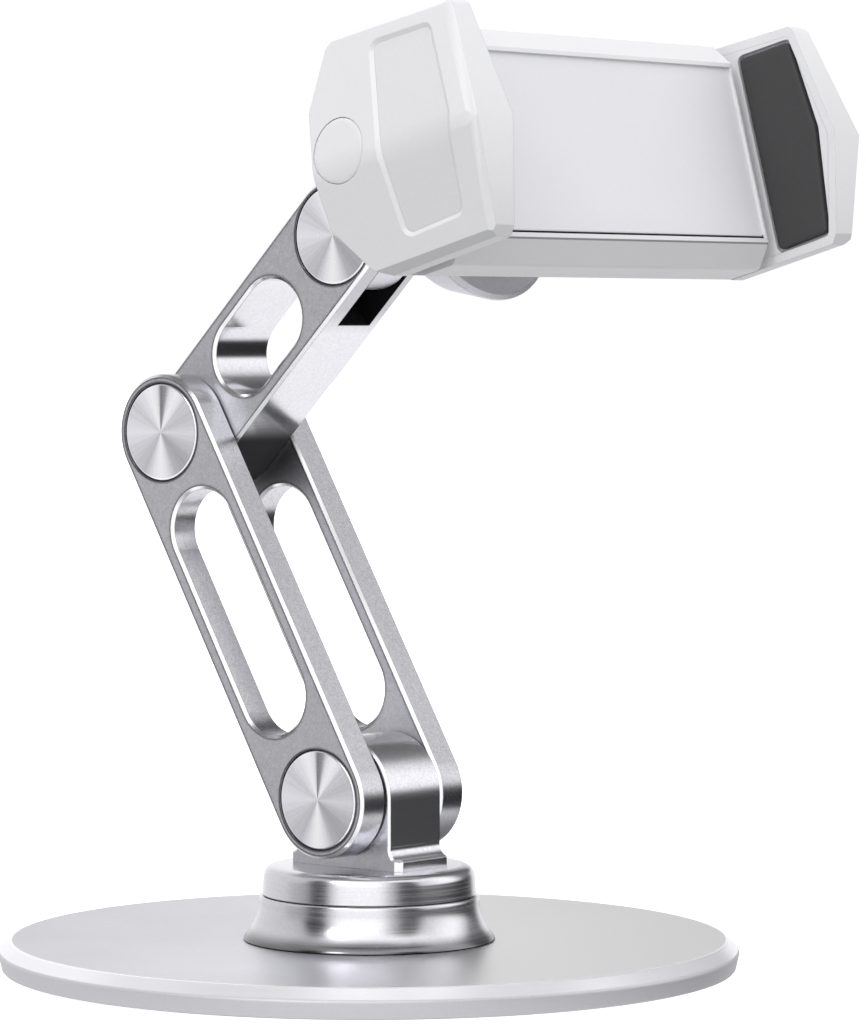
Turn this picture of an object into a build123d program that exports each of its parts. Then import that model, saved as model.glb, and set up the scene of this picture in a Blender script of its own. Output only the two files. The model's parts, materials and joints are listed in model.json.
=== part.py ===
from build123d import *
import os
from math import sin, cos, tan, radians, pi, sqrt

# Desktop phone stand: a round swivel base, a two-section folding arm and a
# self-centring clamp holder.
# Row frame: origin at the centre of the underside, +Z up, +X along the hinge
# axes, the holder faces -Y.

os.makedirs("parts", exist_ok=True)

# ---------------------------------------------------------------- driving sizes
# base (mm)
BASE_R = 75.0
BASE_TOP = 5.7
BASE_BOTTOM = 0.4
BASE_CHAMFER = 2.0
PAD_R = 70.0
PAD_T = 1.4
# swivel
SEAM_Z = 15.0
SEAM_GAP = 0.25
CAP_TOP = 21.2
CAP_R = 21.9
FLARE_R = 25.74
SPINDLE_R = 5.0
# arm
PIVOT_Z = 35.5            # height of the base pivot
LOWER_LEN = 85.5          # base pivot to elbow
LOWER_LEAN = 30.6         # degrees back from vertical
UPPER_LEN = 57.5          # elbow to head pivot
UPPER_LEAN = 45.25        # degrees forward from vertical
PLATE_IN = 8.6            # inner face of each lower arm plate
PLATE_OUT = 15.9          # outer face of each lower arm plate
PLATE_R = 12.0
LOWER_SLOT_R = 8.5
LOWER_SLOT = (24.2, 62.3)
ARM_HALF = 8.3            # half width of the upper arm
ARM_R = 11.3
UPPER_SLOT_R = 8.1
UPPER_SLOT = (22.8, 33.6)
FORK_DEPTH = 43.1         # from the elbow to the floor of the fork
FORK_X = (-3.9, 5.6)
TONGUE_HALF = 8.1
TONGUE_R = 12.4
PIN_R = 4.0
HEAD_PIN_R = 3.0
CLEAR = 0.05              # radial running clearance
DISC_R = 10.05            # spun cover caps
DISC_SEAT_R = 10.25
# holder, in its own frame: n runs from the head pivot to the device, u runs up
HOLDER_PITCH = 15.0       # degrees the holder leans back
PANEL_N = 64.5            # the face the device lies on
PANEL_U = 17.85
BODY_HALF = 48.3          # half length of the clamp body
BODY_U = 23.6
JAW_IN = 51.0
JAW_OUT = 61.3
PAD_FACE = 50.5
JAW_TRAVEL = 36.0
CAP_NU = (49.7, 1.6)      # jaw screw and its cover cap
# rack and pinion
MODULE = 0.8
TEETH = 18

# ------------------------------------------------------------------ pivot points
A = radians(LOWER_LEAN)
B = radians(UPPER_LEAN)
P1 = (0.0, PIVOT_Z)
P2 = (P1[0] + LOWER_LEN * sin(A), P1[1] + LOWER_LEN * cos(A))
P3 = (P2[0] - UPPER_LEN * sin(B), P2[1] + UPPER_LEN * cos(B))


def save(name, *shapes):
    """Write one node; several solids become one group."""
    solids = []
    for s in shapes:
        solids.extend(s.solids())
    out = solids[0] if len(solids) == 1 else Compound(children=solids)
    export_step(out, "parts/%s.step" % name)


def cyl_x(x0, x1, yz, r, r_in=0.0):
    """Cylinder or ring about an X axis through (y, z)."""
    pl = Plane(origin=(x0, yz[0], yz[1]), x_dir=(0, 1, 0), z_dir=(1, 0, 0))
    sk = Circle(r)
    if r_in > 0:
        sk = sk - Circle(r_in)
    return extrude(pl * sk, amount=x1 - x0)


def ring_z(z0, z1, r, r_in=0.0, xy=(0, 0)):
    sk = Circle(r)
    if r_in > 0:
        sk = sk - Circle(r_in)
    return extrude(Plane(origin=(xy[0], xy[1], z0)) * sk, amount=z1 - z0)


def turned(points):
    """Solid of revolution about Z from (r, z) points."""
    face = make_face(Polyline(*[(r, 0, z) for r, z in points], close=True))
    return revolve(face, axis=Axis.Z)


def arm_plane(x0, origin, direction):
    """Sketch plane at x0 with its x axis along the arm, normal +X."""
    return Plane(origin=(x0, origin[0], origin[1]), x_dir=(0, direction[0], direction[1]), z_dir=(1, 0, 0))


def stadium(s0, s1, r):
    return Pos((s0 + s1) / 2, 0) * Rectangle(s1 - s0, 2 * r) + Pos(s0, 0) * Circle(r) + Pos(s1, 0) * Circle(r)


# ------------------------------------------------------------------------- base
plate = ring_z(BASE_BOTTOM, BASE_TOP, BASE_R)
plate = chamfer(plate.edges().group_by(Axis.Z)[-1], BASE_CHAMFER)
plate = chamfer(plate.edges().group_by(Axis.Z)[0], 0.3)
plate -= ring_z(BASE_BOTTOM - 1, PAD_T, PAD_R + 0.1)
plate -= ring_z(0, BASE_TOP + 1, 12.0)
base_screw_xy = [(19.3 * cos(radians(t)), 19.3 * sin(radians(t))) for t in (30, 150, 270)]
screws = []
for xy in base_screw_xy:
    plate -= ring_z(0, BASE_TOP + 1, 2.0, xy=xy)
    plate -= Pos(xy[0], xy[1], 0) * turned([(0, PAD_T - 0.5), (4.3, PAD_T - 0.5), (4.3, PAD_T), (4.0, PAD_T), (2.0, PAD_T + 2.0), (0, PAD_T + 2.0)])
    head = turned([(0, PAD_T + 0.7), (1.2, PAD_T + 0.1), (3.9, PAD_T + 0.1), (2.0, PAD_T + 2.0), (2.0, 12.0), (0, 12.0)])
    screws.append(Pos(xy[0], xy[1], 0) * head)
save("base_plate", plate)
save("anti_slip_pad", ring_z(0, PAD_T - 0.02, PAD_R))
save("base_screws", *screws)

# ----------------------------------------------------------------- swivel stack
flare = [(FLARE_R, BASE_TOP), (FLARE_R, BASE_TOP + 0.7)]
for i in range(1, 9):
    t = i / 8.0
    flare.append((22.55 + (FLARE_R - 22.55) * (1 - t) ** 2.1, BASE_TOP + 0.7 + (SEAM_Z - 0.4 - BASE_TOP - 0.7) * t))
flare_prof = [(SPINDLE_R + CLEAR, 9.0), (16.0, 9.0), (16.0, BASE_TOP)] + flare + [(22.2, SEAM_Z), (SPINDLE_R + CLEAR, SEAM_Z)]
swivel_base = turned(flare_prof)
for xy in base_screw_xy:
    swivel_base -= ring_z(BASE_TOP - 1, 12.0, 2.0, xy=xy)
save("swivel_base", swivel_base)

cap = turned([(SPINDLE_R, SEAM_Z + SEAM_GAP), (5.8, SEAM_Z + SEAM_GAP), (5.8, 16.0), (17.7, 16.0), (17.7, SEAM_Z + SEAM_GAP),
              (CAP_R - 0.25, SEAM_Z + SEAM_GAP), (CAP_R, SEAM_Z + SEAM_GAP + 0.25), (21.65, 18.9), (21.35, 19.9), (20.85, 20.65),
              (20.1, 21.1), (19.5, CAP_TOP), (7.9, CAP_TOP), (7.9, 18.4), (SPINDLE_R, 18.4)])
block_screws = []
for y in (-10.3, 10.3):
    cap -= ring_z(15.9, 18.0, 2.75, xy=(0, y))
    cap -= ring_z(15.9, CAP_TOP + 1, 1.5, xy=(0, y))
    block_screws.append(ring_z(16.05, 18.0, 2.6, xy=(0, y)) + ring_z(18.0, 26.0, 1.5, xy=(0, y)))
save("swivel_cap", cap)
save("hinge_block_screws", *block_screws)
save("friction_washer", ring_z(SEAM_Z + 0.04, 15.96, 17.4, 5.9))
spindle = turned([(0, 1.9), (3.7, 1.9), (4.0, 2.2), (4.0, 8.6), (SPINDLE_R, 8.6), (SPINDLE_R, 18.4), (7.8, 18.4), (7.8, 21.1), (2.6, 21.1), (2.6, 19.2), (0, 19.2)])
save("spindle_bolt", spindle)
save("wave_washer", ring_z(8.35, 8.92, 9.0, 5.1))
nut = extrude(Plane(origin=(0, 0, 4.0)) * RegularPolygon(7.5, 6), amount=4.25) - ring_z(3, 9, 4.0)
save("spindle_nut", nut)

# ----------------------------------------------------------------- hinge block
F0, F1 = CAP_TOP, 23.7
rf = 3.0
foot = Pos(0, 0, (F0 + F1) / 2) * Box(2 * TONGUE_HALF, 30.0, F1 - F0)
foot = chamfer(foot.edges().filter_by(Axis.Z), 1.3)
foot = chamfer(foot.edges().group_by(Axis.Z)[-1], 0.5)
# web joins the round tongue to the foot with concave fillets
zb = F1 - 0.5
with BuildLine() as bl:
    Line((-TONGUE_R - rf + 0.6, zb), (TONGUE_R + rf - 0.6, zb))
    ThreePointArc((TONGUE_R + rf - 0.6, zb), (TONGUE_R + 0.55, zb + 0.95), (TONGUE_R, zb + rf))
    Line((TONGUE_R, zb + rf), (TONGUE_R, P1[1]))
    ThreePointArc((TONGUE_R, P1[1]), (0, P1[1] + TONGUE_R), (-TONGUE_R, P1[1]))
    Line((-TONGUE_R, P1[1]), (-TONGUE_R, zb + rf))
    ThreePointArc((-TONGUE_R, zb + rf), (-TONGUE_R - 0.55, zb + 0.95), (-TONGUE_R - rf + 0.6, zb))
tw = extrude(Plane(origin=(-TONGUE_HALF, 0, 0), x_dir=(0, 1, 0), z_dir=(1, 0, 0)) * make_face(bl.line), amount=2 * TONGUE_HALF)
tw = chamfer([e for e in tw.faces().filter_by(Axis.X).edges() if e.center().Z > zb + 0.1], 0.45)
block = foot + tw
block -= cyl_x(-20, 20, P1, PIN_R + 1.5)
for y in (-10.3, 10.3):
    block -= ring_z(F0 - 1, 26.0, 1.5, xy=(0, y))
save("hinge_block", block)
save("base_pivot_bush", cyl_x(-TONGUE_HALF, TONGUE_HALF, P1, PIN_R + 1.5, PIN_R + CLEAR))

# ------------------------------------------------------------------- lower arm
D1 = (sin(A), cos(A))


def lower_plate(side):
    x0 = -PLATE_OUT if side < 0 else PLATE_IN
    pl = arm_plane(x0, P1, D1)
    t = PLATE_OUT - PLATE_IN
    body = extrude(pl * (stadium(0, LOWER_LEN, PLATE_R) - stadium(LOWER_SLOT[0], LOWER_SLOT[1], LOWER_SLOT_R)), amount=t)
    body = chamfer(body.faces().filter_by(Axis.X).edges(), 0.6)
    for p in (P1, P2):
        body -= cyl_x(-20, 20, p, PIN_R)
        if side < 0:
            body -= cyl_x(-PLATE_OUT - 1, -PLATE_OUT + 2.4, p, DISC_SEAT_R)
            body -= cyl_x(-PLATE_OUT + 2.3, -10.4, p, 6.1)
        else:
            body -= cyl_x(PLATE_OUT - 2.4, PLATE_OUT + 1, p, DISC_SEAT_R)
            body -= cyl_x(10.4, PLATE_OUT - 2.3, p, 6.1)
    return body


save("lower_arm_left_plate", lower_plate(-1))
save("lower_arm_right_plate", lower_plate(1))


def pin_bolt(p):
    b = cyl_x(-10.4, 10.35, p, PIN_R) + cyl_x(-13.35, -10.4, p, 5.9) + cyl_x(10.35, 13.2, p, 3.0)
    pl = Plane(origin=(-13.4, p[0], p[1]), x_dir=(0, 1, 0), z_dir=(1, 0, 0))
    return b - extrude(pl * RegularPolygon(2.6, 6), amount=2.2)


def pin_nut(p):
    n = cyl_x(10.4, 13.35, p, 5.9, 3.0)
    for dy in (-1, 1):
        n -= Pos(13.0, p[0] + dy * 5.9, p[1]) * Box(1.2, 2.2, 1.4)
    return n


def spun_cap(x_in, x_out, p, r=DISC_R, boss=True):
    """Thin turned cover with a chamfered rim."""
    c = cyl_x(min(x_in, x_out), max(x_in, x_out), p, r)
    rim = c.faces().sort_by(Axis.X)[0 if x_out < x_in else -1].edges()
    return chamfer(rim, 0.35)


save("base_pivot_bolt", pin_bolt(P1))
save("base_pivot_nut", pin_nut(P1))
save("elbow_pivot_bolt", pin_bolt(P2))
save("elbow_pivot_nut", pin_nut(P2))
for nm, p in (("base_pivot", P1), ("elbow", P2)):
    save("%s_cap_left" % nm, spun_cap(-PLATE_OUT + 2.4, -PLATE_OUT - 0.15, p))
    save("%s_cap_right" % nm, spun_cap(PLATE_OUT - 2.4, PLATE_OUT + 0.15, p))
save("base_pivot_washers", cyl_x(-PLATE_IN, -TONGUE_HALF - CLEAR, P1, 10.0, PIN_R), cyl_x(TONGUE_HALF + CLEAR, PLATE_IN, P1, 10.0, PIN_R))
save("elbow_washers", cyl_x(-PLATE_IN, -ARM_HALF - CLEAR, P2, 10.0, PIN_R), cyl_x(ARM_HALF + CLEAR, PLATE_IN, P2, 10.0, PIN_R))

# ------------------------------------------------------------------- upper arm
D2 = (-sin(B), cos(B))
pl = arm_plane(-ARM_HALF, P2, D2)
arm = extrude(pl * (stadium(0, UPPER_LEN, ARM_R) - stadium(UPPER_SLOT[0], UPPER_SLOT[1], UPPER_SLOT_R)), amount=2 * ARM_HALF)
arm = chamfer(arm.faces().filter_by(Axis.X).edges(), 0.6)
npl = arm_plane(FORK_X[0], P2, D2)
arm -= extrude(npl * (Pos((FORK_DEPTH + 80) / 2, 0) * Rectangle(80 - FORK_DEPTH, 40)), amount=FORK_X[1] - FORK_X[0])
arm -= cyl_x(-20, 20, P2, PIN_R + 1.5)
arm -= cyl_x(-20, 20, P3, HEAD_PIN_R)
arm -= cyl_x(-ARM_HALF - 1, -ARM_HALF + 1.6, P3, DISC_SEAT_R)
arm -= cyl_x(-ARM_HALF + 1.5, -4.9, P3, 5.6)
arm -= cyl_x(ARM_HALF - 1.0, ARM_HALF + 1, P3, DISC_SEAT_R)
save("upper_arm", arm)
save("elbow_bush", cyl_x(-ARM_HALF, ARM_HALF, P2, PIN_R + 1.5, PIN_R + CLEAR))
hb = cyl_x(-6.6, -4.9, P3, 5.5) + cyl_x(-4.9, 7.25, P3, HEAD_PIN_R)
hb -= extrude(Plane(origin=(-6.7, P3[0], P3[1]), x_dir=(0, 1, 0), z_dir=(1, 0, 0)) * RegularPolygon(2.3, 6), amount=1.3)
save("head_pivot_bolt", hb)
save("head_cap_left", spun_cap(-ARM_HALF + 1.6, -ARM_HALF - 0.15, P3))
save("head_cap_right", spun_cap(ARM_HALF - 1.0, ARM_HALF + 0.15, P3))

# ------------------------------------------------------------------ holder frame
# local x = X, local y = -n, local z = u
HOLD = Pos(0, P3[0], P3[1]) * Rot(-HOLDER_PITCH, 0, 0)


def ring_n(n0, n1, r, r_in=0.0, xu=(0, 0)):
    """Cylinder or ring about an axis along n, in holder coordinates."""
    pl_ = Plane(origin=(xu[0], -n0, xu[1]), x_dir=(1, 0, 0), z_dir=(0, -1, 0))
    sk = Circle(r)
    if r_in > 0:
        sk = sk - Circle(r_in)
    return extrude(pl_ * sk, amount=n1 - n0)


def turned_n(points):
    """Solid of revolution about the n axis from (r, n) points."""
    face = make_face(Polyline(*[(r, -n, 0) for r, n in points], close=True))
    return revolve(face, axis=Axis.Y)


def box_xnu(x0, x1, n0, n1, u0, u1):
    return Pos((x0 + x1) / 2, -(n0 + n1) / 2, (u0 + u1) / 2) * Box(x1 - x0, n1 - n0, u1 - u0)


def prism_x(x0, x1, pts):
    """Prism along X from (n, u) points."""
    pl_ = Plane(origin=(x0, 0, 0), x_dir=(0, 1, 0), z_dir=(1, 0, 0))
    return extrude(pl_ * make_face(Polyline(*[(-n, u) for n, u in pts], close=True)), amount=x1 - x0)


# tilt knuckle with the round flange the clamp body turns on
T0, T1 = FORK_X[0] + 0.2, FORK_X[1] - 0.2
kn = cyl_x(T0, T1, (0, 0), 11.0)
kn = chamfer(kn.faces().filter_by(Axis.X).edges(), 0.4)
kn += box_xnu(T0, T1, 0, 15.0, -7.5, 7.5)
kn += turned_n([(0, 12.8), (9.0, 12.8), (9.6, 13.4), (12.0, 21.0), (17.2, 22.6), (18.4, 23.4), (22.3, 31.8), (22.3, 32.4), (21.4, 33.1), (0, 33.1)])
kn -= cyl_x(-20, 20, (0, 0), HEAD_PIN_R + 1.3)
kn -= cyl_x(T0 - 1, T0 + 0.5, (0, 0), 8.6)
kn -= cyl_x(T1 - 0.5, T1 + 1, (0, 0), 8.6)
kn -= ring_n(16.0, 34.0, 4.0)
save("tilt_knuckle", HOLD * kn)
save("head_bush", HOLD * cyl_x(T0 + 0.5, T1 - 0.5, (0, 0), HEAD_PIN_R + 1.3, HEAD_PIN_R + CLEAR))
save("head_washers", HOLD * cyl_x(FORK_X[0] + CLEAR, T0 + 0.5, (0, 0), 8.5, HEAD_PIN_R + CLEAR),
     HOLD * cyl_x(T1 - 0.5, FORK_X[1] - CLEAR, (0, 0), 8.5, HEAD_PIN_R + CLEAR))
rb = ring_n(17.0, 33.1, 4.0) + ring_n(33.1, 43.4, 5.0) + ring_n(43.4, 46.0, 8.0)
rb -= extrude(Plane(origin=(0, -46.1, 0), x_dir=(1, 0, 0), z_dir=(0, 1, 0)) * RegularPolygon(2.6, 6), amount=2.0)
save("rotation_bolt", HOLD * rb)
save("rotation_washer", HOLD * ring_n(33.12, 34.1, 15.0, 5.05))
save("rotation_wave_washer", HOLD * ring_n(42.85, 43.38, 7.6, 5.05))

# ------------------------------------------------------------------ clamp body
SPLIT_N = 56.0
outer_rear = [(SPLIT_N, BODY_U), (53.8, BODY_U), (50.5, 22.6), (43.6, 17.4), (42.3, 15.2), (42.3, -15.2), (43.6, -17.4), (50.5, -22.6), (53.8, -BODY_U), (SPLIT_N, -BODY_U)]
rear = prism_x(-BODY_HALF, BODY_HALF, outer_rear) + ring_n(34.15, 43.0, 17.0)
cav = [(SPLIT_N + 1, 21.6), (53.0, 21.6), (45.8, 16.9), (44.8, 16.2), (44.8, -16.2), (45.8, -16.9), (53.0, -21.6), (SPLIT_N + 1, -21.6)]
rear -= prism_x(-46.3, 46.3, cav)
rear -= ring_n(34.0, 50.0, SPINDLE_R + CLEAR)
rear -= ring_n(42.8, 50.0, 8.6)
# rails that carry the slide arms, and side guides
for s in (-1, 1):
    rear += box_xnu(-46.3, 46.3, 44.8, 47.9, s * 12 - 1.2, s * 12 + 1.2)
    rear += box_xnu(-46.3, 46.3, 44.8, 54.0, min(s * 15.15, s * 16.5), max(s * 15.15, s * 16.5))
# windows in the end walls for the slide arms
rear -= box_xnu(-BODY_HALF - 1, -46.2, 47.85, 54.15, 7.9, 15.1)
rear -= box_xnu(46.2, BODY_HALF + 1, 47.85, 54.15, -15.1, -7.9)
hs = []
SCREW_XU = [(x, u) for x in (-40, 40) for u in (-19.1, 19.1)]
rear_clip = prism_x(-46.3, 46.3, outer_rear)
for x, u in SCREW_XU:
    rear += (ring_n(45.0, SPLIT_N, 2.4, xu=(x, u)) & rear_clip)
for x, u in SCREW_XU:
    rear -= ring_n(40.0, 51.0, 2.1, xu=(x, u))
    rear -= ring_n(40.0, SPLIT_N + 1, 1.15, xu=(x, u))
    h = ring_n(49.4, 51.0, 2.0, xu=(x, u)) + ring_n(51.0, 60.0, 1.15, xu=(x, u))
    hs.append(HOLD * h)
save("rear_cover", HOLD * rear)
save("housing_screws", *hs)

outer_front = [(SPLIT_N, -BODY_U), (61.0, -BODY_U), (61.6, -BODY_U + 0.25), (64.6, -19.4), (65.0, -18.9), (65.0, 18.9), (64.6, 19.4), (61.6, BODY_U - 0.25), (61.0, BODY_U), (SPLIT_N, BODY_U)]
front = prism_x(-BODY_HALF, BODY_HALF, outer_front)
front -= prism_x(-46.3, 46.3, [(SPLIT_N - 1, -21.6), (60.2, -21.6), (61.4, -19.6), (61.4, 19.6), (60.2, 21.6), (SPLIT_N - 1, 21.6)])
front -= box_xnu(-47.8, 47.8, 63.3, 70, -18.0, 18.0)
for s in (-1, 1):
    front += box_xnu(-46.3, 46.3, 54.1, 61.4, s * 12 - 1.2, s * 12 + 1.2)
front += ring_n(54.2, 61.5, 4.0)
front -= ring_n(54.0, 60.0, 2.0)
for x, u in SCREW_XU:
    front += (ring_n(SPLIT_N, 61.6, 2.4, xu=(x, u)) & prism_x(-46.3, 46.3, outer_front))
    front -= ring_n(SPLIT_N - 1, 60.0, 1.15, xu=(x, u))
save("front_housing", HOLD * front)
panel = box_xnu(-47.65, 47.65, 63.3, PANEL_N, -PANEL_U + 0.3, PANEL_U)
panel = chamfer(panel.faces().sort_by(Axis.Y)[0].edges(), 0.2)
save("front_panel", HOLD * panel)

# ------------------------------------------------------------- rack and pinion
RP = MODULE * TEETH / 2
RBASE = RP * cos(radians(20))
RT = RP + 0.72
RROOT = RP - 0.95
THIN = 0.09


def inv(t):
    return tan(t) - t


def gear_outline():
    from math import acos
    half = pi / (2 * TEETH) - THIN / (2 * RP) + inv(radians(20))
    flank = []
    for i in range(6):
        r = RBASE + (RT - RBASE) * i / 5
        a = half - inv(acos(min(1.0, RBASE / r)))
        flank.append((r, a))
    pts = []
    for k in range(TEETH):
        c = pi / 2 + 2 * pi * k / TEETH
        tooth = [(RROOT, c + half)] + [(r, c + a) for r, a in flank] + [(r, c - a) for r, a in reversed(flank)] + [(RROOT, c - half)]
        pts += [(r * cos(a), r * sin(a)) for r, a in reversed(tooth)]
    return pts


gpl = Plane(origin=(0, -48.4, 0), x_dir=(1, 0, 0), z_dir=(0, -1, 0))
gear = extrude(gpl * make_face(Polyline(*gear_outline(), close=True)), amount=5.2)
gear -= ring_n(48.0, 54.0, 2.0 + CLEAR)
save("pinion", HOLD * gear)
save("pinion_pin", HOLD * (ring_n(47.6, 60.0, 2.0) + ring_n(47.2, 48.3, 3.0)))

# torsion spring wound round the pinion boss
turns, r_mean, r_wire, n_a, pitch = 4.0, 5.4, 0.45, 55.0, 1.25
helix = Helix(pitch=pitch, height=pitch * turns, radius=r_mean)
wire_face = Plane(origin=helix @ 0, z_dir=helix % 0) * Circle(r_wire)
coil = sweep(wire_face, path=helix)
save("return_spring", HOLD * (Pos(0, -n_a, 0) * Rot(90, 0, 0) * coil))


def slide_arm(side):
    """Rack arm in holder coordinates. side -1: left jaw, rack above the pinion."""
    v = 1 if side < 0 else -1           # which side of the pinion
    p = pi * MODULE
    th2 = p / 4 - THIN / 2
    add, ded = 0.68, 0.95
    tn = tan(radians(20))
    end_in = 44.0                        # free end, past the pinion
    pts = []
    # outline in (x, u) for side -1 and v = +1; mirrored for the other
    x_hi = end_in
    pts.append((x_hi, 14.9))
    pts.append((x_hi, RP + ded))
    n_teeth = 19
    for k in range(n_teeth):
        # tooth centres half a pitch from the pinion's centre line
        c = (16.5 - k) * p
        pts += [(c + th2 + ded * tn, RP + ded), (c + th2 - add * tn, RP - add), (c - th2 + add * tn, RP - add), (c - th2 - ded * tn, RP + ded)]
    pts.append((-JAW_IN - 2.5, RP + ded))
    pts.append((-JAW_IN - 2.5, 14.9))
    if v < 0:
        pts = [(-x, -u) for x, u in pts]
    pl_ = Plane(origin=(0, -48.0, 0), x_dir=(1, 0, 0), z_dir=(0, -1, 0))
    a = extrude(pl_ * make_face(Polyline(*pts, close=True)), amount=6.0)
    # end plate inside the jaw, drilled for the jaw screw
    x0, x1 = (side * 55.3, side * 53.1)
    lo, hi = (-4.0, 15.1) if v > 0 else (-15.1, 6.5)
    a += box_xnu(min(x0, x1), max(x0, x1), 47.9, 54.1, lo, hi)
    a -= extrude(Plane(origin=(min(x0, x1) - 1, -CAP_NU[0], CAP_NU[1]), x_dir=(0, 1, 0), z_dir=(1, 0, 0)) * Circle(1.6), amount=7)
    return a


save("left_slide_arm", HOLD * slide_arm(-1))
save("right_slide_arm", HOLD * slide_arm(1))


# ------------------------------------------------------------------------ jaws
def unit(v):
    m = sqrt(sum(c * c for c in v))
    return tuple(c / m for c in v)


def plane3(a, b, c, inside=(-54.0, 62.0, 0.0)):
    """Outward plane through three (x, n, u) points."""
    ab = [b[i] - a[i] for i in range(3)]
    ac = [c[i] - a[i] for i in range(3)]
    n = unit((ab[1] * ac[2] - ab[2] * ac[1], ab[2] * ac[0] - ab[0] * ac[2], ab[0] * ac[1] - ab[1] * ac[0]))
    d = sum(n[i] * (inside[i] - a[i]) for i in range(3))
    if d > 0:
        n = tuple(-k for k in n)
    return (a, n)


CREASE = -1.5
SLOPE = 0.195             # each half of the outer face falls back towards top and bottom


def outer_x(u):
    return -JAW_OUT + SLOPE * abs(u - CREASE)


def facet(a, b, c, d):
    """Two triangle planes over a nearly flat four-cornered facet, split on its convex diagonal."""
    p = plane3(a, b, c)
    if sum(p[1][i] * (d[i] - a[i]) for i in range(3)) <= 0:
        return [p, plane3(a, c, d)]
    return [plane3(a, b, d), plane3(b, c, d)]


def along_x(p, q):
    """Plane parallel to X through two (n, u) points."""
    return plane3((-54.0, p[0], p[1]), (-50.0, p[0], p[1]), (-54.0, q[0], q[1]))


OA, OT, OB = (-JAW_OUT, 81.9, CREASE), (outer_x(21.6), 77.8, 21.6), (outer_x(-21.2), 78.4, -21.2)
BA, BT, BB = (-60.4, 83.8, CREASE), (-56.0, 80.0, 21.0), (-56.5, 79.9, -20.4)
RA, RT_, RB = (-JAW_IN, 84.6, -1.3), (-JAW_IN, 80.0, 20.3), (-JAW_IN, 79.8, -20.6)
outer_planes = [plane3((-JAW_OUT, 50, CREASE), (-JAW_OUT, 80, CREASE), (outer_x(21), 60, 21)),
                plane3((-JAW_OUT, 50, CREASE), (-JAW_OUT, 80, CREASE), (outer_x(-22), 60, -22))]
side_planes = (facet(OA, OT, BT, BA) + facet(OA, OB, BB, BA) + facet(BA, BT, RT_, RA) + facet(BA, BB, RB, RA)
               + [
    # front corners
    along_x((80.5, 20.6), (78.8, 22.4)), along_x((80.1, -20.6), (78.2, -22.9)),
    # top and bottom, with the outer bevels
    along_x((50.6, 24.0), (77.6, 22.6)), along_x((50.6, -23.3), (78.0, -22.9)),
    plane3((outer_x(22.9), 50.6, 22.9), (outer_x(21.6), 77.6, 21.6), (-55.0, 50.6, 24.0)),
    plane3((outer_x(-21.9), 50.2, -21.9), (outer_x(-21.7), 78.0, -21.7), (-55.0, 60.0, -23.1)),
    # back
    along_x((43.0, 10.0), (43.0, -12.0)), along_x((43.1, 11.0), (48.3, 22.0)), along_x((48.3, 22.0), (51.6, 24.0)),
    along_x((43.1, -12.2), (50.0, -22.2)), along_x((49.4, -21.4), (52.4, -23.4)),
])
inner_plane = [((-JAW_IN, 60, 0), (1.0, 0.0, 0.0))]


def convex(planes_off):
    """Intersection of half spaces: [((x, n, u), outward normal, inset)]."""
    b = box_xnu(-70, -40, 30, 100, -40, 40)
    for pt, nrm, off in planes_off:
        # holder coordinates to solid coordinates: y = -n
        o = (pt[0] - nrm[0] * off, -(pt[1] - nrm[1] * off), pt[2] - nrm[2] * off)
        z = (nrm[0], -nrm[1], nrm[2])
        b = split(b, bisect_by=Plane(origin=o, z_dir=z), keep=Keep.BOTTOM)
    return b


def body_of(off_outer, off_side, off_inner):
    return convex([(p, n, off_outer) for p, n in outer_planes] + [(p, n, off_side) for p, n in side_planes] + [(p, n, off_inner) for p, n in inner_plane])


INLAY = [(59.1, 20.2), (74.8, 19.4), (77.9, 1.0), (74.4, -17.7), (59.1, -18.3)]


PAD_PTS = [(64.9, 20.3), (78.5, 20.1), (80.8, 0.8), (78.2, -20.8), (64.9, -21.3)]


def rounded_prism(x0, x1, pts, r):
    s = prism_x(x0, x1, pts)
    return fillet(s.edges().filter_by(Axis.X), r)


def inset_poly(pts, d):
    cx = sum(p[0] for p in pts) / len(pts)
    cy = sum(p[1] for p in pts) / len(pts)
    out = []
    for x, y in pts:
        out.append((x - d * (1 if x > cx else -1), y - (d * (1 if y > cy else -1) if abs(y) > 5 else 0)))
    return out


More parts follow.
